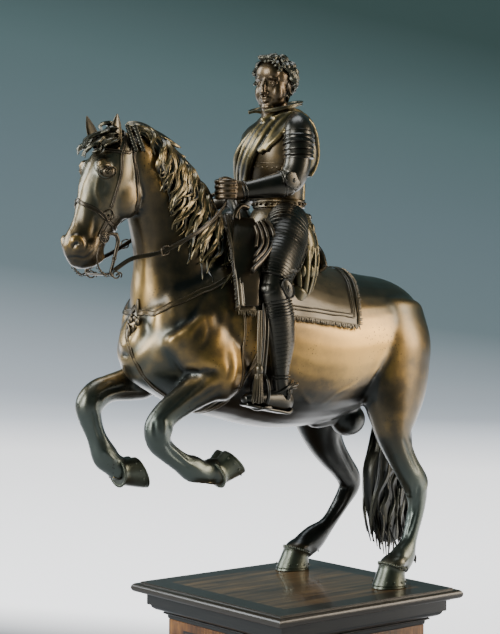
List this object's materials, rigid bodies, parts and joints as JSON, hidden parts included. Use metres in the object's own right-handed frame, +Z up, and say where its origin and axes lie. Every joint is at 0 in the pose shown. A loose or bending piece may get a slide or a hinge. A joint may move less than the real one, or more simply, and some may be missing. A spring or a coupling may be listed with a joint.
{
  "type": "equestrian statuette",
  "caption": "Cast bronze rider in armour on a horse rising on its hind legs, both forelegs raised, set on a square moulded wooden plinth.",
  "frame": {"origin": "middle of the plinth's underside", "axes": "+Z up, the horse faces -X, its left flank faces -Y"},
  "size_m": [0.5461, 0.292, 0.7708],
  "materials": {
    "ebonised_wood": "ebonised and polished",
    "veneer": "polished golden brown veneer",
    "brown_bronze": "bronze under a worn brown lacquer patina",
    "dark_bronze": "bronze under a dark brown lacquer patina"
  },
  "bodies": {
    "root": {"plinth_foot": "ebonised_wood", "plinth_block": "veneer", "plinth_cornice": "ebonised_wood", "plinth_top": "ebonised_wood", "horse": "brown_bronze", "rider": "dark_bronze", "curb_bit": "dark_bronze", "rein_left": "dark_bronze", "rein_right": "dark_bronze"}
  },
  "joints": []
}
